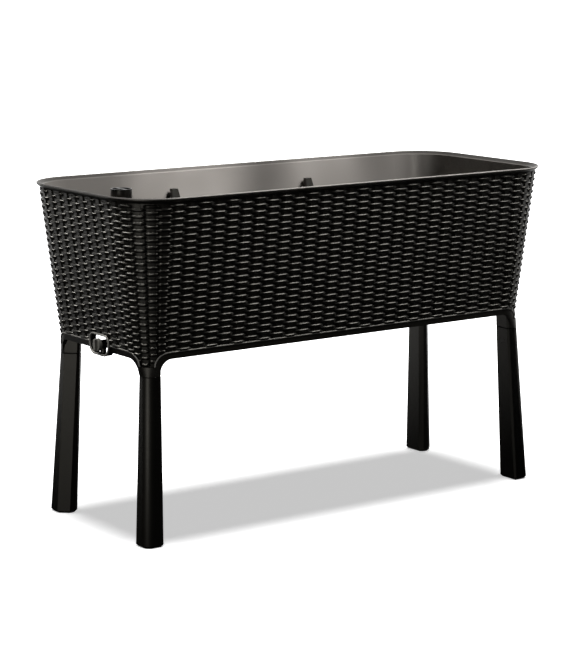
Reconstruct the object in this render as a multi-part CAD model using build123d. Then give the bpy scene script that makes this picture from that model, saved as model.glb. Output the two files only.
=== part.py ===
from build123d import *
import math
import os

os.makedirs("parts", exist_ok=True)

# Raised self-watering planter. Millimetres, +Z up, origin on the ground under the middle of the tub.
# +X runs along the tub, the front is -Y, and the drain tap is in the -X end.

# Tub, measured over its lip
tub_length = 1140.0
tub_depth = 480.0
lip_corner_radius = 110.0
lip_edge = 4.0
lip_overhang = 8.0
lip_fall = 7.0
lip_flat = 2.0

# Walls, which lean in evenly all round from the rim to the top of the smooth band
wall = 5.0
wall_height = 327.0
wall_lean = 41.5

# Uprights of the woven walls, one behind each column of strands
upright_width = 11.0
upright_proud = 2.5
upright_long_pitches = 27
upright_end_count = 8
upright_corner_pitches = 5.5

# Smooth band under the woven walls, and the collars that carry it on the legs
collar_height = 35.0
band_height = 15.0
band_proud = 3.0
arch_radius = 25.0
tongue_drop = 30.0
tongue_width = 33.0

# Floor of the water store, its ribs and its sump
floor_over_band = 30.0
floor_thickness = 5.0
rib_thickness = 3.0
rib_depth = 12.0
rib_count = 5
sump_length = 80.0
sump_width = 44.0
sump_wall = 4.0
sump_setback = 37.0
sump_nut_gap = 1.7

# Legs, which plug onto stubs under the tub's corners
joint_height = 360.0
leg_top_width = 37.0
leg_foot_width = 44.5
leg_top_depth = 49.5
leg_foot_depth = 62.0
leg_end_inset = 9.0
leg_side_inset = 6.0
foot_spread_x = 19.5
foot_spread_y = 22.0
leg_outer_radius = 19.0
leg_end_cut = 20.0
leg_front_cut = 4.0
leg_inner_cut = 9.0
leg_wall = 4.0
foot_thickness = 9.0
foot_bevel = 5.0
groove = 1.5
stub_length = 62.0
stub_gap = 0.4
latch_width = 16.0
latch_height = 10.0
latch_gap = 0.6

# Divider trays, the false bottom over the water store
tray_over_floor = 60.0
tray_thickness = 4.0
tray_gap = 2.0
tray_split = 2.0
tray_rim_height = 12.0
tray_rim_thickness = 3.0
wells_per_tray = 2
well_top_width = 96.0
well_foot_width = 66.0
well_wall = 3.0
well_slot_width = 6.0
slot_length = 70.0
slot_width = 8.0
slot_columns = 4
slot_rows = 1
post_x = 187.0
post_wall_gap = 6.0
post_below_rim = 43.0
post_tip_height = 46.0
post_tip_width = 15.0
post_shoulder_width = 27.0
post_foot_width = 36.0
post_depth_ratio = 0.7

# Water gauge, standing through the left tray
gauge_y = -72.0
gauge_end_gap = 4.0
gauge_rise = 5.5
gauge_tube_diameter = 34.0
gauge_tube_wall = 2.0
gauge_slot_width = 6.0
gauge_slot_height = 44.0
cap_diameter = 44.6
cap_height = 26.0
cap_recess = 6.0
cap_wall = 3.0
cap_bar_width = 8.0
cap_fit_gap = 0.2
rod_diameter = 5.0
rod_gap = 0.5
float_diameter = 26.0
float_height = 34.0
rod_in_float = 25.0
rod_tip_bevel = 0.8
float_seat_gap = 0.5

# Drain tap in the sump wall, reached through a tunnel in the band
tap_y = -20.0
tap_below_band = 2.0
tunnel_width = 78.0
tunnel_height = 46.0
tunnel_top_radius = 16.0
tunnel_foot_radius = 21.0
tunnel_wall = 3.0
tunnel_depth = 14.0
tunnel_proud = 3.0
tap_barrel_diameter = 19.0
tap_bore_diameter = 12.0
tap_channel_diameter = 7.0
tap_tail_diameter = 14.0
tap_tail_gap = 0.3
tap_plug_length = 19.0
tap_plug_gap = 0.1
gate_offset = 4.2
tap_nut_width = 24.0
tap_nut_thickness = 8.0
tap_tail_past_nut = 3.0
spout_diameter = 13.0
spout_past_tunnel = 3.0
spout_gap = 1.5
knob_diameter = 27.0
knob_thickness = 8.0
knob_proud = 11.0
knob_gap = 0.6
knob_grip_width = 6.5
knob_grip_height = 5.0
stem_diameter = 7.0
stem_depth = 5.0
knob_grip_length = 23.0

# Heights, one standing on the next from the legs' joint up
band_foot = joint_height + collar_height
band_top = band_foot + band_height
floor_top = band_top + floor_over_band
floor_underside = floor_top - floor_thickness
tray_top = floor_top + tray_over_floor
tray_underside = tray_top - tray_thickness
rim_height = band_top + wall_height
post_top = rim_height - post_below_rim
tap_height = band_top - tap_below_band
lip_underside = rim_height - lip_edge
lip_root = lip_underside - lip_fall

wall_corner_radius = lip_corner_radius - lip_overhang
wall_angle = math.degrees(math.atan(wall_lean / wall_height))


def wall_half_sizes(z, inset):
    """Half length, half depth and corner radius of the tub at height z, inset from its outer face."""
    drawn_in = wall_lean * (rim_height - z) / wall_height + inset
    half_x = tub_length / 2 - lip_overhang - drawn_in
    half_y = tub_depth / 2 - lip_overhang - drawn_in
    return half_x, half_y, wall_corner_radius - drawn_in


def rounded_outline(z, half_x, half_y, radius):
    return Pos(0, 0, z) * RectangleRounded(2 * half_x, 2 * half_y, radius)


def wall_outline(z, inset):
    return rounded_outline(z, *wall_half_sizes(z, inset))


def lip_outline(z, inset):
    return rounded_outline(z, tub_length / 2 - inset, tub_depth / 2 - inset, lip_corner_radius - inset)


def tapered_block(z_low, z_high, inset):
    """Solid between two heights that follows the leaning walls."""
    return extrude(wall_outline(z_low, inset), z_high - z_low, taper=-wall_angle)


def mirrored(shape, side_x, side_y):
    """Copy of a shape modelled in the +X +Y corner, moved to the corner with the given signs."""
    if side_x != side_y:
        shape = mirror(shape, about=Plane.YZ)
    if side_y < 0:
        shape = Rot(0, 0, 180) * shape
    return shape


def in_all_corners(shape):
    return [mirrored(shape, side_x, side_y) for side_x in (1, -1) for side_y in (1, -1)]


def crossed_views(front_view, side_view):
    """Solid with one outline seen along Y, in (x, z) points, and another seen along X, in (y, z) points."""
    front_face = make_face(Polyline(*front_view, close=True))
    side_face = make_face(Polyline(*side_view, close=True))
    seen_from_front = extrude(Plane.XZ * front_face, tub_depth, both=True)
    seen_from_side = extrude(Plane.YZ * side_face, tub_length, both=True)
    return seen_from_front & seen_from_side


def end_plane(x):
    """Plane square to X at the tap's axis, with its own x along +Y and its y up."""
    return Plane(origin=(x, tap_y, tap_height), x_dir=(0, 1, 0), z_dir=(1, 0, 0))


def x_cylinder(diameter, x_low, x_high):
    """Round bar on the tap's axis between two stations along X."""
    return extrude(end_plane(x_low) * Circle(diameter / 2), x_high - x_low)


base_half_x, base_half_y, base_radius = wall_half_sizes(band_top, 0)
leg_top_x = base_half_x - leg_end_inset
leg_top_y = base_half_y - leg_side_inset
end_face = base_half_x + band_proud


def leg_faces(z):
    """Outer and inner X, then outer and inner Y, of the leg's faces at height z in the +X +Y corner."""
    drop = (joint_height - z) / joint_height
    outer_x = leg_top_x + foot_spread_x * drop
    outer_y = leg_top_y + foot_spread_y * drop
    inner_x = outer_x - leg_top_width - (leg_foot_width - leg_top_width) * drop
    inner_y = outer_y - leg_top_depth - (leg_foot_depth - leg_top_depth) * drop
    return outer_x, inner_x, outer_y, inner_y


def leg_block(z_low, z_high, inset):
    """Leg between two heights in the +X +Y corner: round outer corner, the other three cut off."""
    low_x, low_inner_x, low_y, low_inner_y = leg_faces(z_low)
    high_x, high_inner_x, high_y, high_inner_y = leg_faces(z_high)
    front_view = (
        (low_inner_x + inset, z_low),
        (low_x - inset, z_low),
        (high_x - inset, z_high),
        (high_inner_x + inset, z_high),
    )
    side_view = (
        (low_inner_y + inset, z_low),
        (low_y - inset, z_low),
        (high_y - inset, z_high),
        (high_inner_y + inset, z_high),
    )
    block = crossed_views(front_view, side_view)
    cut_shrink = inset * (2 - math.sqrt(2))
    block = chamfer(leg_edge(block, 1, -1), leg_end_cut - cut_shrink)
    block = chamfer(leg_edge(block, -1, 1), leg_front_cut - cut_shrink)
    block = chamfer(leg_edge(block, -1, -1), leg_inner_cut - cut_shrink)
    return fillet(leg_edge(block, 1, 1), leg_outer_radius - inset)


def leg_edge(block, side_x, side_y):
    """Upright edge of a leg block that lies farthest towards the given signs."""
    uprights = block.edges().filter_by(lambda edge: abs(edge.tangent_at(0.5).Z) > 0.5)
    return uprights.sort_by(lambda edge: side_x * edge.center().X + side_y * edge.center().Y)[-1]


def latch_block(gap):
    """Click latch on the stub's inner side, or with a gap the window for it in the leg."""
    z = joint_height - stub_length / 2
    outer_x, inner_x, outer_y, inner_y = leg_faces(z)
    middle_y = (inner_y + leg_inner_cut + outer_y - leg_front_cut) / 2
    reach = leg_wall + 2 * stub_gap
    block = Box(2 * reach + 2 * gap, latch_width + 2 * gap, latch_height + 2 * gap)
    return Pos(inner_x + reach, middle_y, z) * block


def base_frame():
    """Smooth band round the foot of the walls, with the arches and the collars over the legs."""
    band_outline = rounded_outline(
        band_top, base_half_x + band_proud, base_half_y + band_proud, base_radius + band_proud
    )
    joint_outline = rounded_outline(joint_height, leg_top_x, leg_top_y, leg_outer_radius)
    frame = loft([joint_outline, band_outline], ruled=True)
    frame -= tapered_block(joint_height - wall, band_top + wall, wall)
    window_x = leg_top_x - leg_top_width + leg_front_cut
    window_y = leg_top_y - leg_top_depth + leg_end_cut
    window_height = 2 * (band_foot - joint_height)
    window_middle = band_foot - window_height / 2
    long_window = Pos(0, 0, window_middle) * Box(2 * window_x, tub_depth, window_height)
    long_window = fillet(long_window.edges().filter_by(Axis.Y).group_by(Axis.Z)[-1], arch_radius)
    end_window = Pos(0, 0, window_middle) * Box(tub_length, 2 * window_y, window_height)
    end_window = fillet(end_window.edges().filter_by(Axis.X).group_by(Axis.Z)[-1], arch_radius)
    frame = frame - long_window - end_window
    # The woven wall runs on down through a notch over each leg, between two rounded shoulders.
    corner = (base_half_x - base_radius, base_half_y - base_radius, band_top - tongue_drop)
    notch_plane = Plane(origin=corner, x_dir=(-1, 1, 0), z_dir=(1, 1, 0))
    shoulder = tongue_width / 2 + tongue_drop
    notch_face = make_face(
        Line((-tongue_width / 2, 0), (tongue_width / 2, 0))
        + CenterArc((shoulder, 0), tongue_drop, 90, 90)
        + Line((shoulder, tongue_drop), (-shoulder, tongue_drop))
        + CenterArc((-shoulder, 0), tongue_drop, 0, 90)
    )
    notch = extrude(notch_plane * notch_face, 2 * base_radius)
    for cutter in in_all_corners(notch):
        frame -= cutter
    return frame


def weave_uprights():
    """Uprights that stand on the band, lean out with the walls and reach up to the lip."""
    top_radius = wall_half_sizes(lip_root, 0)[2]
    side_view = Polyline(
        (base_radius - wall / 2, band_top),
        (base_radius + upright_proud, band_top),
        (top_radius + upright_proud, lip_root),
        (top_radius - wall / 2, lip_root),
        close=True,
    )
    upright = extrude(Plane.XZ * make_face(side_view), upright_width / 2, both=True)
    flat_x = base_half_x - base_radius
    flat_y = base_half_y - base_radius
    long_pitch = 2 * flat_x / upright_long_pitches
    end_pitch = 2 * flat_y / upright_end_count
    corner_pitch = 90 / upright_corner_pitches
    uprights = []
    for index in range(upright_long_pitches + 1):
        uprights.append(Pos(index * long_pitch - flat_x, flat_y, 0) * Rot(0, 0, 90) * upright)
    for index in range(upright_end_count):
        uprights.append(Pos(flat_x, (index + 0.5) * end_pitch - flat_y, 0) * upright)
    for index in range(1, math.ceil(upright_corner_pitches)):
        turn = 90 - index * corner_pitch
        uprights.append(Pos(flat_x, flat_y, 0) * Rot(0, 0, turn) * upright)
        uprights.append(Pos(-flat_x, flat_y, 0) * Rot(0, 0, 180 - turn) * upright)
    return uprights + [Rot(0, 0, 180) * upright for upright in uprights]


def tunnel_outline(x, inset):
    """Rounded mouth of the tap tunnel, with larger corners at its foot."""
    width = tunnel_width - 2 * inset
    height = tunnel_height - 2 * inset
    face = Rectangle(width, height)
    face = fillet(face.vertices().group_by(Axis.Y)[-1], tunnel_top_radius - inset)
    face = fillet(face.vertices().group_by(Axis.Y)[0], tunnel_foot_radius - inset)
    return end_plane(x) * face


sump_outer_x = -(end_face - sump_setback)
sump_foot = tap_height - tap_nut_width / 2 - sump_nut_gap - sump_wall


def sump_block(inset, z_low, z_high):
    middle = Pos(sump_outer_x + sump_length / 2, tap_y, z_low)
    outline = Rectangle(sump_length - 2 * inset, sump_width - 2 * inset)
    return extrude(middle * outline, z_high - z_low)


def under_ribs():
    """Stiffening ribs across the underside of the floor."""
    inside = tapered_block(floor_underside - rib_depth, floor_underside, wall)
    rib_z = floor_underside - rib_depth / 2
    ribs = []
    pitch = 2 * base_half_x / (rib_count + 1)
    for index in range(rib_count):
        x = pitch * (index + 1) - base_half_x
        ribs.append(Pos(x, 0, rib_z) * Box(rib_thickness, tub_depth, rib_depth) & inside)
    return ribs


# Stations of the tap along X, from the knob's face inwards
knob_face = -(end_face + knob_proud)
knob_back = knob_face + knob_thickness
barrel_front = knob_back + knob_gap
plug_end = barrel_front + tap_plug_length
tail_end = sump_outer_x + sump_wall + tap_nut_thickness + tap_tail_past_nut
spout_x = barrel_front + tap_plug_length / 2
tunnel_foot = tap_height - tunnel_height / 2


def spout_cylinder(diameter, z_low, z_high):
    return extrude(Pos(spout_x, tap_y, z_low) * Circle(diameter / 2), z_high - z_low)


def planter_tub():
    tub = tapered_block(band_foot, lip_root, 0)
    tub += loft([wall_outline(lip_root, 0), lip_outline(lip_underside, 0)], ruled=True)
    tub += extrude(lip_outline(lip_underside, 0), lip_edge)
    inner_top = rim_height - lip_fall
    tub -= tapered_block(floor_top, inner_top, wall)
    tub -= loft([wall_outline(inner_top, wall), lip_outline(rim_height, lip_flat)], ruled=True)
    tub -= tapered_block(band_foot, floor_underside, wall)
    # Band with the tap tunnel through it, and the sump behind the tunnel
    tunnel_front = -(end_face + tunnel_proud)
    tub += base_frame() + extrude(tunnel_outline(tunnel_front, 0), tunnel_depth)
    tub += weave_uprights()
    tub -= extrude(tunnel_outline(tunnel_front - tunnel_proud, tunnel_wall), tunnel_depth + 2 * tunnel_proud)
    for rib in under_ribs():
        tub += rib
    tub += sump_block(0, sump_foot, floor_top)
    tub -= sump_block(sump_wall, sump_foot + sump_wall, floor_top)
    tail_hole = tap_tail_diameter + 2 * tap_tail_gap
    tub -= x_cylinder(tail_hole, sump_outer_x - sump_wall, sump_outer_x + 2 * sump_wall)
    tub -= spout_cylinder(spout_diameter + 2 * spout_gap, tunnel_foot - spout_past_tunnel, tap_height)
    # Each collar carries on inside the tub's corner up to the floor and down into the leg as a stub.
    inside_wall = tapered_block(joint_height, floor_top, 0)
    collar_top = band_top - tongue_drop
    collar = leg_block(joint_height, collar_top, 0)
    collar = chamfer(collar.faces().sort_by(Axis.Z)[0].edges(), groove)
    post = collar + (leg_block(collar_top, floor_underside, 0) & inside_wall)
    stub_foot = joint_height - stub_length
    post += leg_block(stub_foot, joint_height, leg_wall + stub_gap)
    post += latch_block(0)
    for corner_post in in_all_corners(post):
        tub += corner_post
    return tub


def leg():
    body = leg_block(0, joint_height, 0)
    body = chamfer(body.faces().sort_by(Axis.Z)[0].edges(), foot_bevel)
    body = chamfer(body.faces().sort_by(Axis.Z)[-1].edges(), groove)
    body -= leg_block(foot_thickness, joint_height, leg_wall)
    return body - latch_block(latch_gap)


gauge_x = -(wall_half_sizes(floor_top, wall)[0] - gauge_end_gap - gauge_tube_diameter / 2)
gauge_top = rim_height + gauge_rise
inner_half_x, inner_half_y = wall_half_sizes(tray_underside, wall + tray_gap)[:2]
gauge_hole_diameter = gauge_tube_diameter + 2 * tray_gap
standing = (Align.CENTER, Align.CENTER, Align.MIN)


def tray_post():
    """Tall tapered post at the back edge of a tray, which leans with the wall behind it."""
    shoulder_z = post_top - post_tip_height
    levels = (
        (tray_underside, post_foot_width),
        (shoulder_z, post_shoulder_width),
        (post_top, post_tip_width),
    )
    right_edge = [(post_x + width / 2, z) for z, width in levels]
    left_edge = [(post_x - width / 2, z) for z, width in levels]
    back_edge = [(wall_half_sizes(z, wall + post_wall_gap)[1], z) for z, width in levels]
    front_edge = [(y - width * post_depth_ratio, z) for (y, z), (z, width) in zip(back_edge, levels)]
    return crossed_views(right_edge + left_edge[::-1], back_edge + front_edge[::-1])


def cup_block(x, lift, foot_half, top_half):
    """Square block flaring upwards over the height of a wicking cup, with its middle at x."""
    foot = floor_top + lift
    top = tray_top + lift
    front_view = ((x - foot_half, foot), (x + foot_half, foot), (x + top_half, top), (x - top_half, top))
    side_view = ((-foot_half, foot), (foot_half, foot), (top_half, top), (-top_half, top))
    return crossed_views(front_view, side_view)


def well(x):
    """Wicking cup that stands on the floor of the water store and carries the tray, its hollow and slots."""
    foot_half = well_foot_width / 2
    top_half = well_top_width / 2
    cup = cup_block(x, 0, foot_half, top_half)
    hollow = cup_block(x, well_wall, foot_half - well_wall, top_half - well_wall)
    slot = Box(2 * well_top_width, well_slot_width, tray_over_floor / 2)
    slots = Pos(x, 0, floor_top + tray_over_floor / 2) * (slot + Rot(0, 0, 90) * slot)
    return cup, hollow, slots & cup


def tray_right():
    tray = tapered_block(tray_underside, tray_top + tray_rim_height, wall + tray_gap)
    tray -= tapered_block(tray_top, tray_top + tray_rim_height, wall + tray_gap + tray_rim_thickness)
    tray &= Pos(tub_length / 2 + tray_split / 2, 0, tray_top) * Box(tub_length, tub_depth, tub_depth)
    # Drain slots, in rows either side of the line of wicking cups
    room = inner_half_y - well_top_width / 2
    grid = GridLocations(inner_half_x / (slot_columns + 1), room / slot_rows, slot_columns, slot_rows)
    for side in (-1, 1):
        middle = Pos(inner_half_x / 2, side * (well_top_width + room) / 2, tray_underside)
        for place in grid:
            tray -= extrude(middle * place * Rectangle(slot_length, slot_width), tray_thickness)
    well_pitch = inner_half_x / wells_per_tray
    for index in range(wells_per_tray):
        cup, hollow, slots = well(well_pitch * (index + 0.5))
        tray += cup
        tray = tray - hollow - slots
    post = tray_post()
    tray += post
    tray += mirror(post, about=Plane.XZ)
    return tray


def tray_left():
    tray = mirror(tray_right(), about=Plane.YZ)
    hole = Pos(gauge_x, gauge_y, tray_top) * Cylinder(gauge_hole_diameter / 2, 4 * tray_rim_height)
    return tray - hole


def gauge_tube():
    tube_top = gauge_top - cap_recess - cap_wall
    outer = Cylinder(gauge_tube_diameter / 2, tube_top - floor_top, align=standing)
    tube = Pos(gauge_x, gauge_y, floor_top) * outer
    bore = Cylinder(gauge_tube_diameter / 2 - gauge_tube_wall, tube_top, align=standing)
    tube -= Pos(gauge_x, gauge_y, floor_top) * bore
    slot = Pos(gauge_x, gauge_y, floor_top + gauge_slot_height / 2)
    slot_box = Box(2 * gauge_tube_diameter, gauge_slot_width, gauge_slot_height)
    tube -= slot * slot_box
    tube -= slot * (Rot(0, 0, 90) * slot_box)
    return tube


def gauge_cap():
    """Push-on cap whose recessed top has a bar across it, with a guide hole for the rod."""
    radius = cap_diameter / 2
    cap = Pos(0, 0, -cap_height / 2) * Cylinder(radius, cap_height)
    recess = Pos(0, 0, -cap_recess / 2) * Cylinder(radius - cap_wall, cap_recess)
    bar = Pos(0, 0, -cap_recess / 2) * Box(cap_bar_width, cap_diameter, cap_recess)
    cap -= recess - bar
    tube_room = cap_height - cap_recess - cap_wall
    socket = Pos(0, 0, -cap_height + tube_room / 2)
    cap -= socket * Cylinder(gauge_tube_diameter / 2 + cap_fit_gap, tube_room)
    cap -= Cylinder(rod_diameter / 2 + rod_gap, 3 * cap_height)
    return Pos(gauge_x, gauge_y, gauge_top) * cap


float_foot = floor_top + float_seat_gap


def gauge_float():
    body = Cylinder(float_diameter / 2, float_height, align=standing)
    body -= Cylinder(rod_diameter / 2, 3 * float_height)
    return Pos(gauge_x, gauge_y, float_foot) * body


def gauge_rod():
    rod_foot = float_foot + float_height - rod_in_float
    length = gauge_top - rod_foot
    rod = Cylinder(rod_diameter / 2, length, align=standing)
    rod = chamfer(rod.edges().group_by(Axis.Z)[-1], rod_tip_bevel)
    return Pos(gauge_x, gauge_y, rod_foot) * rod


def tap_body():
    spout_foot = tunnel_foot - spout_past_tunnel
    body = x_cylinder(tap_barrel_diameter, barrel_front, sump_outer_x)
    body += x_cylinder(tap_tail_diameter, sump_outer_x, tail_end)
    body += spout_cylinder(spout_diameter, spout_foot, tap_height)
    body -= x_cylinder(tap_bore_diameter, barrel_front, plug_end)
    body -= x_cylinder(tap_channel_diameter, plug_end, tail_end)
    return body - spout_cylinder(tap_channel_diameter, spout_foot, tap_height)


def tap_lock_nut():
    front = sump_outer_x + sump_wall
    hexagon = end_plane(front) * RegularPolygon(tap_nut_width / 2, 6, major_radius=False)
    nut = extrude(hexagon, tap_nut_thickness)
    return nut - x_cylinder(tap_tail_diameter, front, front + tap_nut_thickness)


def tap_plug():
    """Turning plug whose inner half is a thin gate: it covers the spout until turned a quarter."""
    plug = x_cylinder(tap_bore_diameter - 2 * tap_plug_gap, barrel_front, plug_end - tap_plug_gap)
    plug += x_cylinder(stem_diameter, knob_back - stem_depth, barrel_front)
    water_way = Box(tap_plug_length, tap_bore_diameter, tap_bore_diameter)
    gate_top = tap_height - gate_offset
    way_x = spout_x - tap_channel_diameter / 2 + tap_plug_length / 2
    return plug - Pos(way_x, tap_y, gate_top + tap_bore_diameter / 2) * water_way


def tap_knob():
    """Round knob with a finger grip across its face."""
    disc = x_cylinder(knob_diameter, knob_face, knob_back)
    grip_outline = Rectangle(knob_grip_width, knob_grip_length)
    grip = extrude(end_plane(knob_face - knob_grip_height) * grip_outline, knob_grip_height)
    return disc + grip - x_cylinder(stem_diameter, knob_back - stem_depth, knob_back)


parts = {
    "planter_tub": planter_tub(),
    "tray_left": tray_left(),
    "tray_right": tray_right(),
    "gauge_tube": gauge_tube(),
    "gauge_cap": gauge_cap(),
    "gauge_float": gauge_float(),
    "gauge_rod": gauge_rod(),
    "tap_body": tap_body(),
    "tap_lock_nut": tap_lock_nut(),
    "tap_plug": tap_plug(),
    "tap_knob": tap_knob(),
}
corner_leg = leg()
for depth_name, side_y in (("front", -1), ("back", 1)):
    for side_name, side_x in (("left", -1), ("right", 1)):
        parts[f"leg_{depth_name}_{side_name}"] = mirrored(corner_leg, side_x, side_y)

for name, shape in parts.items():
    export_step(shape, f"parts/{name}.step")
    print(name, "volume", round(shape.volume), "mm3")
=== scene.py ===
# %% [markdown]
# # A woven-look raised planter
#
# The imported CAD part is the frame: tub, legs, trays, gauge and tap. This script adds what the
# CAD leaves out, which is the strands of the moulded weave, the beads along the moulded edges,
# the finishes, the light and the camera. All lengths are in metres.

# %% Load the part
import math

import bmesh
import bpy
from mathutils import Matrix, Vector


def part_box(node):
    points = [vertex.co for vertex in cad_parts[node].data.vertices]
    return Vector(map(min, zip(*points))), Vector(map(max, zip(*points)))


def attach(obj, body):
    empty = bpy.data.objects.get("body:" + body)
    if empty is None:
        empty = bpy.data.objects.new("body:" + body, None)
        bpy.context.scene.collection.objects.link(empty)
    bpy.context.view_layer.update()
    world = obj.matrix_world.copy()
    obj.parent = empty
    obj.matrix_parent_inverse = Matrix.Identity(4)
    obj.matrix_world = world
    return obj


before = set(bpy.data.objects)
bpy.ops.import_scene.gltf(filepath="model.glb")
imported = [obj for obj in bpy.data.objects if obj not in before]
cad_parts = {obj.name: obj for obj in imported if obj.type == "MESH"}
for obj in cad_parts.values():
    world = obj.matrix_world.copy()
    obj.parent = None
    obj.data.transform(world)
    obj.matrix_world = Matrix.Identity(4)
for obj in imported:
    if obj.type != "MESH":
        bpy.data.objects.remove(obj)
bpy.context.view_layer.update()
scene = bpy.context.scene

# %% [markdown]
# ## The camera
#
# The camera was fitted to the photo: it looks at a point 380 mm over the ground from the front
# left, a little from above, through a long lens. The photo's centre is a few pixels off the
# lens axis, which the two shifts take up.

# %% Camera
PHOTO_WIDTH = 580
AZIMUTH = math.radians(35.81)
ELEVATION = math.radians(10.31)
CAMERA_DISTANCE = 5.0878
FOCAL_PIXELS = 2249.33
SHIFT_X_PIXELS = -5.321
SHIFT_Y_PIXELS = 3.971
TARGET = Vector((0.0, 0.0, 0.380))
level = math.cos(ELEVATION)
toward_camera = Vector((-math.sin(AZIMUTH) * level, -math.cos(AZIMUTH) * level, math.sin(ELEVATION)))

camera_data = bpy.data.cameras.new("camera")
camera_data.sensor_fit = "HORIZONTAL"
camera_data.sensor_width = 36.0
camera_data.lens = FOCAL_PIXELS / PHOTO_WIDTH * camera_data.sensor_width
camera_data.shift_x = SHIFT_X_PIXELS / PHOTO_WIDTH
camera_data.shift_y = SHIFT_Y_PIXELS / PHOTO_WIDTH
camera = bpy.data.objects.new("camera", camera_data)
camera.location = TARGET + toward_camera * CAMERA_DISTANCE
camera.rotation_euler = toward_camera.to_track_quat("Z", "Y").to_euler()
scene.collection.objects.link(camera)
scene.camera = camera
print("camera at", [round(value, 3) for value in camera.location])

# %% [markdown]
# ## Writing shaders as sums
#
# A shader is a graph of nodes. `Value` wraps one output socket, so that maths on it reads like
# ordinary arithmetic, and its `node` method is the one place where a node is made and wired.


# %% Shader helper
class Value:
    def __init__(self, tree, socket=None):
        self.tree = tree
        self.socket = socket

    def node(self, kind, inputs=(), output=0, **settings):
        made = self.tree.nodes.new(kind)
        for name, setting in settings.items():
            setattr(made, name, setting)
        pairs = inputs.items() if isinstance(inputs, dict) else enumerate(inputs)
        for key, source in pairs:
            if isinstance(source, Value):
                source.into(made.inputs[key])
            else:
                made.inputs[key].default_value = source
        return Value(self.tree, made.outputs[output])

    def into(self, socket):
        self.tree.links.new(self.socket, socket)

    def math(self, operation, *others):
        return self.node("ShaderNodeMath", [self, *others], operation=operation)

    def __add__(self, other):
        return self.math("ADD", other)

    __radd__ = __add__

    def __sub__(self, other):
        return self.math("SUBTRACT", other)

    def __rsub__(self, other):
        return self.node("ShaderNodeMath", [other, self], operation="SUBTRACT")

    def __mul__(self, other):
        return self.math("MULTIPLY", other)

    __rmul__ = __mul__

    def __abs__(self):
        return self.math("ABSOLUTE")

    def above(self, low):
        return self.math("MAXIMUM", low)

    def ramp(self, low, high):
        """0 at low and 1 at high, smooth between them."""
        limits = {"Value": self, "From Min": low, "From Max": high}
        return self.node("ShaderNodeMapRange", limits, interpolation_type="SMOOTHSTEP")

    def blend(self, first, second):
        """The first colour where this is 0 and the second where it is 1."""
        return self.node("ShaderNodeMix", {0: self, 6: first, 7: second}, output=2, data_type="RGBA")

    def axes(self):
        """The three numbers of a vector."""
        split = self.node("ShaderNodeSeparateXYZ", [self])
        return [Value(self.tree, socket) for socket in split.socket.node.outputs]

    def noise(self, scale):
        """Noise over a place."""
        return self.node("ShaderNodeTexNoise", {"Vector": self, "Scale": scale}, output="Fac")


def new_material(name):
    """A material, its surface node, and the object coordinates to paint it by."""
    material = bpy.data.materials.new(name)
    material.use_nodes = True
    tree = material.node_tree
    place = Value(tree).node("ShaderNodeTexCoord", output="Object")
    return material, tree.nodes["Principled BSDF"], place


def grey(level):
    return (level, level, level, 1.0)


print("shader helper ready")

# %% [markdown]
# ## Resin
#
# Every piece is moulded resin, apart from the foam of the gauge's float. The colour drifts
# slightly over the surface, the roughness with it, and a fine grain breaks up the highlights.
# All of them share one recipe.

# %% Resin recipe
DRIFT_SCALE = 9.0
DRIFT_ROUGHNESS = 0.12
GRAIN_SCALE = 900.0
GRAIN_ROUGHNESS = 0.08
GRAIN_DEPTH = 0.0004
NOISE_MIDDLE = 0.5
WARM_GLOSS = (1.0, 0.95, 0.84, 1.0)


def grain_finish(surface, place, roughness, grain):
    """Slightly warm highlights, roughness that drifts over the surface, and a fine grain."""
    surface.inputs["Specular Tint"].default_value = WARM_GLOSS
    speck = place.noise(GRAIN_SCALE)
    drift = (place.noise(DRIFT_SCALE) - NOISE_MIDDLE) * DRIFT_ROUGHNESS
    uneven = drift + (speck - NOISE_MIDDLE) * GRAIN_ROUGHNESS
    (uneven + roughness).into(surface.inputs["Roughness"])
    bump = place.node("ShaderNodeBump", {"Height": speck, "Strength": grain, "Distance": GRAIN_DEPTH})
    bump.into(surface.inputs["Normal"])


def resin(name, dark, light, roughness, grain=0.15):
    material, surface, place = new_material(name)
    place.noise(DRIFT_SCALE).blend((*dark, 1.0), (*light, 1.0)).into(surface.inputs["Base Color"])
    grain_finish(surface, place, roughness, grain)
    return material


leg_resin = resin("leg_resin", (0.0055, 0.0051, 0.0042), (0.0088, 0.0082, 0.0068), 0.42, 0.2)
weave_resin = resin("weave_resin", (0.0007, 0.00065, 0.0005), (0.0016, 0.0015, 0.0012), 0.33)
# The beads are paler than the rest of the resin as a painted highlight on their round edges.
bead_painted_highlight = resin("bead_painted_highlight", (0.064, 0.062, 0.057), (0.084, 0.081, 0.074), 0.36)
# The rim's pale colour is a painted highlight on the lip's edge.
rim_painted_highlight = resin("rim_painted_highlight", (0.340, 0.322, 0.300), (0.400, 0.379, 0.353), 0.32)
fitting_resin = resin("fitting_resin", (0.0020, 0.0019, 0.0017), (0.0035, 0.0033, 0.0030), 0.30)
knob_resin = resin("knob_resin", (0.050, 0.048, 0.043), (0.070, 0.067, 0.060), 0.38)
tray_resin = resin("tray_resin", (0.0020, 0.0019, 0.0017), (0.0040, 0.0038, 0.0034), 0.34)
float_foam = resin("float_foam", (0.62, 0.59, 0.53), (0.70, 0.67, 0.60), 0.8)
print("resins made")

# %% [markdown]
# ## The tub's walls
#
# The walls lean in from the rim to the band, and the corner radius shrinks with them. The same
# few sizes place the weave later, so they are set once here.

# %% Wall sizes
WALL = 0.005
WALL_HEIGHT = 0.327
WALL_LEAN = 0.0415
LIP_OVERHANG = 0.008
LIP_FALL = 0.007
LIP_EDGE = 0.004
RIM_RADIUS = 0.102
tub_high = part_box("planter_tub")[1]
RIM_Z = tub_high.z
LIP_ROOT_Z = RIM_Z - LIP_EDGE - LIP_FALL
BAND_Z = RIM_Z - WALL_HEIGHT
RIM_HALF_X = tub_high.x - LIP_OVERHANG
RIM_HALF_Y = tub_high.y - LIP_OVERHANG


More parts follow.
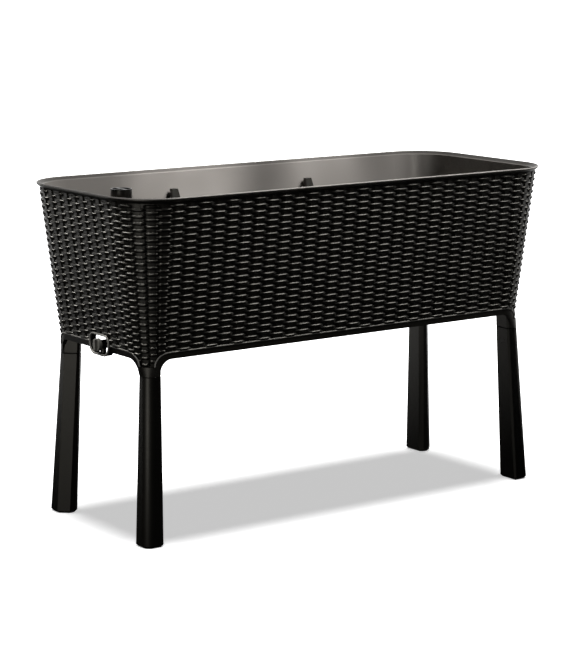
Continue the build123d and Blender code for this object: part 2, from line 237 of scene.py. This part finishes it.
def wall_at(z):
    """Half length, half depth and corner radius of the outer wall at height z."""
    drawn_in = WALL_LEAN * (RIM_Z - z) / WALL_HEIGHT
    return RIM_HALF_X - drawn_in, RIM_HALF_Y - drawn_in, RIM_RADIUS - drawn_in


print("wall at the band", [round(value, 3) for value in wall_at(BAND_Z)])

# %% [markdown]
# The inside of the tub and the top of its lip are smooth, and they are painted lighter and browner
# than the outside: a painted sheen, standing in for the light the satin resin reflects there. The
# shader finds out which side of the wall a point is on: it works out the same rounded rectangle as
# above and measures how far inside its outline the point lies. The lip leans out over the wall, so
# there it measures the height over the lip's underside.

# %% Tub resin and painted sheen
FLOOR_Z = BAND_Z + 0.0275
FLOOR_BLUR = 0.001
INSIDE_FROM = WALL * 0.2
INSIDE_TO = WALL * 0.5
LIP_TOP_FROM = LIP_EDGE * 0.75
LIP_TOP_TO = LIP_EDGE * 0.9
LIP_SHEEN_SHARE = 0.45
SHEEN_PATCH_SCALE = 4.0
OUTER_ROUGHNESS = 0.42
INNER_POLISH = 0.1
TUB_GRAIN = 0.2
OUTER_DARK = (0.0040, 0.0037, 0.0030, 1.0)
OUTER_LIGHT = (0.0065, 0.0061, 0.0050, 1.0)
# The inner colours are a painted sheen, with random patches in it.
INNER_SHEEN_DARK = (0.195, 0.181, 0.167, 1.0)
INNER_SHEEN_LIGHT = (0.285, 0.266, 0.247, 1.0)
tub_resin, tub_surface, tub_place = new_material("tub_resin")
x, y, z = tub_place.axes()
radius = z * (WALL_LEAN / WALL_HEIGHT) + (RIM_RADIUS - RIM_Z * WALL_LEAN / WALL_HEIGHT)
past_x = abs(x) - (RIM_HALF_X - RIM_RADIUS)
past_y = abs(y) - (RIM_HALF_Y - RIM_RADIUS)
out_x = past_x.above(0.0)
out_y = past_y.above(0.0)
corner = (out_x * out_x + out_y * out_y).math("SQRT")
depth = radius - corner - past_x.above(past_y).math("MINIMUM", 0.0)
in_tub = depth.ramp(INSIDE_FROM, INSIDE_TO) * z.ramp(FLOOR_Z - FLOOR_BLUR, FLOOR_Z + FLOOR_BLUR)
over_underside = z + depth * (LIP_FALL / LIP_OVERHANG) - LIP_ROOT_Z
on_lip = over_underside.ramp(LIP_TOP_FROM, LIP_TOP_TO)
# The top of the lip takes part of the painted sheen.
inside = in_tub.above(on_lip * LIP_SHEEN_SHARE)
outer_colour = tub_place.noise(DRIFT_SCALE).blend(OUTER_DARK, OUTER_LIGHT)
inner_painted_sheen = tub_place.noise(SHEEN_PATCH_SCALE).ramp(0.3, 0.7).blend(INNER_SHEEN_DARK, INNER_SHEEN_LIGHT)
inside.blend(outer_colour, inner_painted_sheen).into(tub_surface.inputs["Base Color"])
grain_finish(tub_surface, tub_place, OUTER_ROUGHNESS - inside * INNER_POLISH, TUB_GRAIN)
print("tub resin made")

# %% [markdown]
# Each CAD node takes one finish. The edges of the plain pieces are softened a little, so that
# they catch the light as moulded edges do.

# %% Finishes on the CAD nodes
EDGE_SOFTENING = 0.0009
SOFTENED_ANGLE = math.radians(25.0)
MERGE_DISTANCE = 0.00001
finishes = {
    "planter_tub": tub_resin,
    "tray_left": tray_resin,
    "tray_right": tray_resin,
    "gauge_float": float_foam,
    "tap_knob": knob_resin,
}
legs = [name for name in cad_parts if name.startswith("leg_")]
softened = ["gauge_cap", "tap_knob", *legs]
for name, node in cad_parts.items():
    material = leg_resin if name in legs else finishes.get(name, fitting_resin)
    node.data.materials.clear()
    node.data.materials.append(material)
for name in softened:
    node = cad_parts[name]
    node.modifiers.new("join", "WELD").merge_threshold = MERGE_DISTANCE
    bevel = node.modifiers.new("soft_edges", "BEVEL")
    bevel.width = EDGE_SOFTENING
    bevel.segments = 2
    bevel.angle_limit = SOFTENED_ANGLE
print("finished", len(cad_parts), "nodes, softened", len(softened))

# %% [markdown]
# ## The weave
#
# A strand of the weave runs round the whole tub, in front of one upright and behind the next.
# Places along it are counted in uprights: 27 on each long flat, 8 on each end flat and five and
# a half round each corner, 92 in all. `wall_point` turns such a count into a point on the wall.

# %% Walking round the wall
LONG_COUNT = 27.0
END_COUNT = 8.0
CORNER_COUNT = 5.5
HALF_ROUND = LONG_COUNT + END_COUNT + 2 * CORNER_COUNT
ROUND_COUNT = 2 * HALF_ROUND


def left_part(past, flat_x, flat_y, radius):
    """The stretch left of the front flat: a corner, then half of the end flat."""
    turn = math.pi / 2 * min(past / CORNER_COUNT, 1.0)
    out = Vector((-math.sin(turn), -math.cos(turn), 0.0))
    along = max(past - CORNER_COUNT, 0.0) / END_COUNT
    return Vector((-flat_x, -flat_y + 2 * flat_y * along, 0.0)) + out * radius, out


def wall_point(count, z):
    """Point on the outer wall and its outward direction.

    Count 0 is the middle of the front, and the count grows towards +X.
    """
    half_x, half_y, radius = wall_at(z)
    flat_x = half_x - radius
    flat_y = half_y - radius
    walked = (count + HALF_ROUND / 2) % ROUND_COUNT
    behind = walked >= HALF_ROUND
    step = (walked - HALF_ROUND if behind else walked) - HALF_ROUND / 2
    past = abs(step) - LONG_COUNT / 2
    if past <= 0:
        point = Vector((flat_x * step / (LONG_COUNT / 2), -half_y, 0.0))
        out = Vector((0.0, -1.0, 0.0))
    else:
        point, out = left_part(past, flat_x, flat_y, radius)
    if step > 0 and past > 0:
        point.x = -point.x
        out.x = -out.x
    if behind:
        point = Vector((-point.x, -point.y, 0.0))
        out = -out
    point.z = z
    return point, out


print("uprights all round:", ROUND_COUNT)

# %% [markdown]
# A strand is a strip with a half-round section. It swings out over one upright and in behind
# the next, and the next row swings the other way, which gives the basket pattern. Each strip
# starts as a flat grid, whose points are then laid in place.

# %% Strands
ROW_PITCH = 0.00714
FIRST_ROW_Z = 0.4131
ROW_COUNT = 44
STRAND_RADIUS = 0.0040
STRAND_SWING = 0.0032
STRAND_SET_BACK = 0.0017
SWING_SHARPNESS = 2.2
SAMPLES = 10
SECTION_CUTS = 6


def lay_strip(mesh, steps, cuts, place):
    """A grid laid out by place(along, across), both from 0 to 1."""
    made = bmesh.ops.create_grid(mesh, x_segments=steps, y_segments=cuts, size=0.5)
    for vertex in made["verts"]:
        vertex.co = place(vertex.co.x + 0.5, vertex.co.y + 0.5)


def swing(count, row):
    wave = math.cos(math.pi * (count + 0.5 + row))
    return STRAND_SWING * math.tanh(SWING_SHARPNESS * wave) / math.tanh(SWING_SHARPNESS)


def lay_strand(mesh, row, first, last):
    def place(along, across):
        count = first + (last - first) * along
        turn = math.pi * (across - 0.5)
        rise = STRAND_RADIUS * math.sin(turn)
        point, out = wall_point(count, FIRST_ROW_Z + row * ROW_PITCH + rise)
        return point + out * (swing(count, row) - STRAND_SET_BACK + STRAND_RADIUS * math.cos(turn))

    lay_strip(mesh, max(2, round((last - first) * SAMPLES)), SECTION_CUTS, place)


def add_piece(name, mesh, material):
    """A finished mesh as an object with smooth faces."""
    bmesh.ops.recalc_face_normals(mesh, faces=mesh.faces)
    for face in mesh.faces:
        face.smooth = True
    data = bpy.data.meshes.new(name)
    mesh.to_mesh(data)
    mesh.free()
    data.materials.append(material)
    piece = bpy.data.objects.new(name, data)
    scene.collection.objects.link(piece)
    return piece


tub_pieces = []


def add_tub_piece(name, mesh, material):
    piece = add_piece(name, mesh, material)
    tub_pieces.append(piece)
    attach(piece, "planter")
    print(name, len(piece.data.polygons), "faces")


print("rows of strands:", ROW_COUNT)

# %% [markdown]
# Over each leg the weave runs on down as a tongue, between two rounded shoulders that are
# quarter circles. The tongue narrows to its foot.

# %% Tongues
TONGUE_FOOT_Z = 0.380
TONGUE_HALF_WIDTH = 0.0165
SHOULDER_RADIUS = BAND_Z - TONGUE_FOOT_Z


def tongue_half_width(z):
    rise = min(max(z - TONGUE_FOOT_Z, 0.0), SHOULDER_RADIUS)
    return TONGUE_HALF_WIDTH + SHOULDER_RADIUS - math.sqrt(SHOULDER_RADIUS**2 - rise**2)


def lay_tongue(mesh, middle):
    row = -1
    while FIRST_ROW_Z + row * ROW_PITCH > TONGUE_FOOT_Z:
        z = FIRST_ROW_Z + row * ROW_PITCH
        turn = math.asin(tongue_half_width(z) / wall_at(z)[2])
        reach = turn / (math.pi / 2) * CORNER_COUNT
        lay_strand(mesh, row, middle - reach, middle + reach)
        row -= 1


print("tongue width at the foot:", tongue_half_width(TONGUE_FOOT_Z) * 2)

# %% [markdown]
# The weave is made as four pieces that meet in the middle of the corners. The front and back
# pieces carry the tongues. The left piece is cut open round the mouth of the tap.

# %% Lay the weave
MOUTH_Y = -0.020
MOUTH_Z = 0.408
MOUTH_HALF_WIDTH = 0.0375
MOUTH_HALF_HEIGHT = 0.0215


def at_mouth(face):
    middle = face.calc_center_median()
    return abs(middle.y - MOUTH_Y) < MOUTH_HALF_WIDTH and abs(middle.z - MOUTH_Z) < MOUTH_HALF_HEIGHT


corner_middle = (LONG_COUNT + CORNER_COUNT) / 2
spans = {
    "weave_front": (-corner_middle, corner_middle),
    "weave_right": (corner_middle, HALF_ROUND - corner_middle),
    "weave_back": (HALF_ROUND - corner_middle, HALF_ROUND + corner_middle),
    "weave_left": (HALF_ROUND + corner_middle, ROUND_COUNT - corner_middle),
}
for name, (first, last) in spans.items():
    mesh = bmesh.new()
    for row in range(ROW_COUNT):
        lay_strand(mesh, row, first, last)
    if name in ("weave_front", "weave_back"):
        lay_tongue(mesh, first)
        lay_tongue(mesh, last)
    if name == "weave_left":
        in_mouth = [face for face in mesh.faces if at_mouth(face)]
        bmesh.ops.delete(mesh, geom=in_mouth, context="FACES")
    add_tub_piece(name, mesh, weave_resin)

# %% [markdown]
# ## Beads
#
# The moulded edges end in a round bead, whose pale colour is a painted highlight on its round edge.
# A bead is a strip rolled round a path: `lay_bead` asks the path for a point and its outward
# direction, and takes the path's own direction from a second point a little further on.

# %% Bead helper
BEAD_RADIUS = 0.0018
BEAD_CUTS = 8
LOOK_AHEAD = 0.0005


def lay_bead(mesh, steps, path, radius=BEAD_RADIUS):
    def place(along, across):
        point, out = path(along)
        along_path = (path(along + LOOK_AHEAD)[0] - point).normalized()
        side = along_path.cross(out).normalized()
        turn = 2 * math.pi * across
        return point + radius * (out * math.cos(turn) + side * math.sin(turn))

    lay_strip(mesh, steps, BEAD_CUTS, place)
    bmesh.ops.remove_doubles(mesh, verts=mesh.verts, dist=MERGE_DISTANCE)


print("bead radius:", BEAD_RADIUS)

# %% [markdown]
# A thin bead runs along the lip's upper edge, all round the tub. Its pale colour is a painted
# highlight, standing in for the light that its round edge catches on the dark resin.

# %% Rim bead
RIM_BEAD_RADIUS = 0.0016
RIM_BEAD_INSET = 0.0006
RIM_STEPS = round(ROUND_COUNT * 2)


def rim_path(along):
    point, out = wall_point(ROUND_COUNT * along, RIM_Z - RIM_BEAD_INSET)
    return point + out * (LIP_OVERHANG - RIM_BEAD_INSET), out


rim_mesh = bmesh.new()
lay_bead(rim_mesh, RIM_STEPS, rim_path, RIM_BEAD_RADIUS)
add_tub_piece("rim_bead", rim_mesh, rim_painted_highlight)

# %% [markdown]
# One bead runs round the tap's mouth in the left end. The mouth's lower corners are rounder than
# its upper ones. The path starts a little past the first axis, so that no point lies between two
# corners.

# %% Mouth bead
MOUTH_STEPS = 48
MOUTH_X = -0.5265
MOUTH_BEAD_RADIUS = 0.0024
MOUTH_UPPER_RADIUS = 0.0145
MOUTH_LOWER_RADIUS = 0.0195
MOUTH_START_TURN = 0.001


def mouth_path(along):
    """A circle whose quadrants are pulled apart to the corners of the mouth."""
    turn = 2 * math.pi * along + MOUTH_START_TURN
    out = Vector((0.0, math.cos(turn), math.sin(turn)))
    radius = MOUTH_UPPER_RADIUS if out.z > 0 else MOUTH_LOWER_RADIUS
    centre_y = math.copysign(MOUTH_HALF_WIDTH - radius, out.y)
    centre_z = math.copysign(MOUTH_HALF_HEIGHT - radius, out.z)
    return Vector((MOUTH_X, MOUTH_Y + centre_y, MOUTH_Z + centre_z)) + out * radius, out


mouth_mesh = bmesh.new()
lay_bead(mouth_mesh, MOUTH_STEPS, mouth_path, MOUTH_BEAD_RADIUS)
add_tub_piece("mouth_bead", mouth_mesh, bead_painted_highlight)

# %% [markdown]
# Below the weave each side of the tub is edged like an arch: the bead climbs one shoulder, runs
# along the top of the band and goes down the other shoulder. The band's outline grows from the
# legs' tops to the foot of the walls. A shoulder point is found by walking out from the corner's
# centre, at its own distance from the diagonal, until the outline is met.

# %% Arch beads
JOINT_Z = BAND_Z - 0.050
BAND_STEP = 0.003
LEG_HALF_X = 0.5115
LEG_HALF_Y = 0.1845
LEG_RADIUS = 0.019
BEAD_FOOT_Z = TONGUE_FOOT_Z + 0.001
ARCH_STEPS = 40
SHOULDER_SHARE = 0.3
HALVINGS = 24
DIAGONAL = math.sqrt(0.5)
foot_half_x, foot_half_y, foot_radius = wall_at(BAND_Z)
corner_x = foot_half_x - foot_radius
corner_y = foot_half_y - foot_radius


def beyond_band(x, y, z):
    """How far a point lies outside the band's outline at height z."""
    share = (z - JOINT_Z) / (BAND_Z - JOINT_Z)
    half_x = LEG_HALF_X + (foot_half_x + BAND_STEP - LEG_HALF_X) * share
    half_y = LEG_HALF_Y + (foot_half_y + BAND_STEP - LEG_HALF_Y) * share
    radius = LEG_RADIUS + (foot_radius + BAND_STEP - LEG_RADIUS) * share
    past_x = x - half_x + radius
    past_y = y - half_y + radius
    return math.hypot(max(past_x, 0.0), max(past_y, 0.0)) + min(max(past_x, past_y), 0.0) - radius


def shoulder_point(z, toward_x):
    """Point on the shoulder in the corner where x and y are positive, on the x or the y side."""
    half_width = tongue_half_width(z)
    aside = half_width if toward_x else -half_width
    start = Vector((corner_x + aside * DIAGONAL, corner_y - aside * DIAGONAL, z))
    outward = Vector((DIAGONAL, DIAGONAL, 0.0))
    near = -foot_radius
    far = 2 * foot_radius
    for halving in range(HALVINGS):
        middle = (near + far) / 2
        reached = start + outward * middle
        if beyond_band(reached.x, reached.y, z) > 0:
            far = middle
        else:
            near = middle
    return start + outward * near


def arch_path(along, long_side, sign):
    """Up one shoulder, along the band's top and down the other shoulder."""
    from_end = min(along, 1.0 - along)
    climb = math.pi / 2 * min(from_end / SHOULDER_SHARE, 1.0)
    z = BEAD_FOOT_Z + (BAND_Z - BEAD_FOOT_Z) * math.sin(climb)
    point = shoulder_point(z, not long_side)
    across = 0 if long_side else 1
    if from_end > SHOULDER_SHARE:
        point[across] *= 1.0 - 2.0 * (along - SHOULDER_SHARE) / (1.0 - 2.0 * SHOULDER_SHARE)
    elif along > 0.5:
        point[across] = -point[across]
    point[1 - across] *= sign
    out = Vector((0.0, sign, 0.0)) if long_side else Vector((sign, 0.0, 0.0))
    return point, out


arch_mesh = bmesh.new()
for long_side in (True, False):
    for sign in (-1, 1):
        lay_bead(arch_mesh, ARCH_STEPS, lambda along: arch_path(along, long_side, sign))
print("four arch beads laid:", len(arch_mesh.faces), "faces")

# %% [markdown]
# The bead of the left end stops on both sides of the tap's mouth. It is cut there by two upright
# planes, the stretch between them is taken out and its two ends are closed.


# %% Open the bead at the mouth
def with_edges(faces):
    """Faces with their edges and corners, each once and always in the same order."""
    edges = dict.fromkeys(edge for face in faces for edge in face.edges)
    corners = dict.fromkeys(vertex for face in faces for vertex in face.verts)
    return [*faces, *edges, *corners]


def at_cut(edge):
    """Whether an edge is an open one beside the mouth."""
    middle = (edge.verts[0].co + edge.verts[1].co) / 2
    from_cut = abs(middle.y - MOUTH_Y) - MOUTH_HALF_WIDTH
    return edge.is_boundary and middle.x < 0 and from_cut < BEAD_RADIUS


left_bead = [face for face in arch_mesh.faces if face.calc_center_median().x < -corner_x]
for side in (-1, 1):
    cut = bmesh.ops.bisect_plane(
        arch_mesh,
        geom=with_edges(left_bead),
        plane_co=(0.0, MOUTH_Y + side * MOUTH_HALF_WIDTH, 0.0),
        plane_no=(0.0, 1.0, 0.0),
    )
    left_bead = [part for part in cut["geom"] if isinstance(part, bmesh.types.BMFace)]
across_mouth = [face for face in left_bead if at_mouth(face)]
bmesh.ops.delete(arch_mesh, geom=across_mouth, context="FACES")
cut_ends = [edge for edge in arch_mesh.edges if at_cut(edge)]
closed = bmesh.ops.holes_fill(arch_mesh, edges=cut_ends, sides=0)
print("bead opened by", len(across_mouth), "faces, ends closed by", len(closed["faces"]))
add_tub_piece("arch_beads", arch_mesh, bead_painted_highlight)

# %% [markdown]
# ## Floor and light
#
# To the camera the floor and the world are white. To the light that falls on the object they
# are dark, so that the resin is lit by the lamps alone, apart from reflections, which show the
# white floor where it lies behind the planter. Under the planter the floor's own glow is weaker,
# which is painted shade, and the lamp overhead fills it up wherever it isn't shaded, so that the
# painted shade shows only inside the lamp's real shadow.

# %% Floor
FLOOR_HALF_SIZE = 30.0
SHADE_GLOW = 0.56
SHADE_FROM_SQUARED = 0.5
SHADE_TO_SQUARED = 1.2
MIRRORED_FROM = 0.25
MIRRORED_TO = 1.2
FLOOR_DARK = grey(0.004)
FLOOR_PALE = grey(0.92)


def behind_planter(x, y):
    """How far a place lies behind the planter, seen from the front left."""
    return x * math.sin(AZIMUTH) + y * math.cos(AZIMUTH)


floor_mesh = bmesh.new()
bmesh.ops.create_grid(floor_mesh, x_segments=1, y_segments=1, size=FLOOR_HALF_SIZE)
floor_material, floor_surface, floor_place = new_material("floor")
to_camera = floor_place.node("ShaderNodeLightPath", output="Is Camera Ray")
floor_x, floor_y = floor_place.axes()[:2]
far = (floor_x * floor_x + floor_y * floor_y).ramp(SHADE_FROM_SQUARED, SHADE_TO_SQUARED)
glossy = Value(floor_material.node_tree, to_camera.socket.node.outputs["Is Glossy Ray"])
mirrored = glossy * behind_planter(floor_x, floor_y).ramp(MIRRORED_FROM, MIRRORED_TO)
# Painted shade: the glow is dimmed under the planter, and it shows only where the overhead lamp is
# shaded.
glow = to_camera.above(mirrored) * (far * (1.0 - SHADE_GLOW) + SHADE_GLOW)
glow.blend(grey(0.0), grey(1.0)).into(floor_surface.inputs["Emission Color"])
to_camera.blend(FLOOR_DARK, FLOOR_PALE).into(floor_surface.inputs["Base Color"])
floor_surface.inputs["Emission Strength"].default_value = 1.0
floor_surface.inputs["Roughness"].default_value = 1.0
floor_surface.inputs["Specular IOR Level"].default_value = 0.0
floor = add_piece("floor", floor_mesh, floor_material)
print("floor laid")

# %% [markdown]
# The world is white to the camera. Glossy surfaces see a white backdrop behind the planter,
# which greys the rim's flat top, and a dark room in front of it.

# %% World
ROOM_LEVEL = 0.012
BACKDROP_FROM = 0.3
BACKDROP_TO = 0.9
BACKDROP_TOP = 0.6
BACKDROP_FULL = 0.3
world = bpy.data.worlds.new("world")
world.use_nodes = True
scene.world = world
background = world.node_tree.nodes["Background"]
rays = Value(world.node_tree).node("ShaderNodeLightPath", output="Is Camera Ray")
glossy = Value(world.node_tree, rays.socket.node.outputs["Is Glossy Ray"])
sky_x, sky_y, sky_z = rays.node("ShaderNodeTexCoord", output="Generated").axes()
backdrop = behind_planter(sky_x, sky_y).ramp(BACKDROP_FROM, BACKDROP_TO)
backdrop = backdrop * sky_z.ramp(BACKDROP_TOP, BACKDROP_FULL)
strength = rays.above(glossy * backdrop).above(ROOM_LEVEL)
strength.into(background.inputs["Strength"])
background.inputs["Color"].default_value = grey(1.0)
print("world set")

# %% [markdown]
# A wide lamp from the right front, the key, lights everything but the legs: it draws the bright
# dashes on the strands and reaches the inside of the back wall, where two spots help it. A weak
# one at the left, too low to see over the rim, lights the left end and the legs, and two higher
# ones draw the marks on the strands there and round the corner. A small one, seen in reflections
# only, puts a sheen on the inside of the back right corner. The last shines straight down on the
# floor alone and draws the shadow under the tub.

# %% Lamps
INNER_PLACE = (0.9, -1.1, 3.0)
INNER_Y = 0.235
INNER_Z = 0.69
inner_spots = {
    "inner_left": {"x": -0.15, "power": 460.0, "angle": 7.5},
    "inner_right": {"x": 0.24, "power": 260.0, "angle": 6.0},
}


def lamp(name, kind, place, aim, power):
    data = bpy.data.lights.new(name, kind)
    data.energy = power
    made = bpy.data.objects.new(name, data)
    made.location = place
    made.rotation_euler = (Vector(place) - Vector(aim)).to_track_quat("Z", "Y").to_euler()
    scene.collection.objects.link(made)
    return made


def light_only(made, name, receivers):
    """Let a lamp light these objects and no others."""
    group = bpy.data.collections.new(name)
    for receiver in receivers:
        group.objects.link(receiver)
    made.light_linking.receiver_collection = group


def widen(made, width, height):
    made.data.shape = "RECTANGLE"
    made.data.size = width
    made.data.size_y = height


def narrow(made, angle, blend, softness):
    made.data.spot_size = math.radians(angle)
    made.data.spot_blend = blend
    made.data.shadow_soft_size = softness


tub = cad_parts["planter_tub"]
object_pieces = [*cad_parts.values(), *tub_pieces]
key_pieces = [piece for piece in object_pieces if piece.name not in legs]
end_pieces = [piece for piece in tub_pieces if piece.name != "rim_bead"]
end_pieces += [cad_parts[name] for name in ("tap_knob", "tap_body")]
key = lamp("key", "AREA", place=(2.3, -2.0, 3.9), aim=(0.0, 0.0, 0.55), power=240.0)
widen(key, width=3.0, height=1.0)
light_only(key, "lit_object", key_pieces)
side = lamp("side", "AREA", place=(-2.6, -1.4, 0.55), aim=(-0.4, 0.0, 0.4), power=14.0)
widen(side, width=1.0, height=1.0)
light_only(side, "lit_side", object_pieces)
left = lamp("left", "AREA", place=(-1.9, 1.6, 3.3), aim=(-0.53, 0.0, 0.55), power=285.0)
widen(left, width=2.6, height=0.8)
light_only(left, "lit_left_end", end_pieces)
corner_lamp = lamp("corner", "AREA", place=(-1.4, -0.5, 3.8), aim=(-0.5, -0.2, 0.5), power=140.0)
widen(corner_lamp, width=1.0, height=1.0)
light_only(corner_lamp, "lit_corner", end_pieces)
for name, spot in inner_spots.items():
    inner = lamp(name, "SPOT", INNER_PLACE, (spot["x"], INNER_Y, INNER_Z), spot["power"])
    narrow(inner, spot["angle"], blend=0.8, softness=0.05)
    light_only(inner, "lit_" + name, [tub])
sheen = lamp("sheen", "SPOT", place=(-0.65, -2.44, 1.45), aim=(0.56, 0.2, 0.70), power=120.0)
narrow(sheen, angle=7.0, blend=1.0, softness=0.25)
sheen.visible_diffuse = False
light_only(sheen, "lit_sheen", [tub])
overhead = lamp("overhead", "SUN", place=(0.0, 0.0, 3.0), aim=(0.0, 0.0, 0.0), power=6.0)
overhead.data.angle = math.radians(15.0)
light_only(overhead, "lit_floor", [floor])
scene.view_settings.view_transform = "Standard"
print("lamps placed")
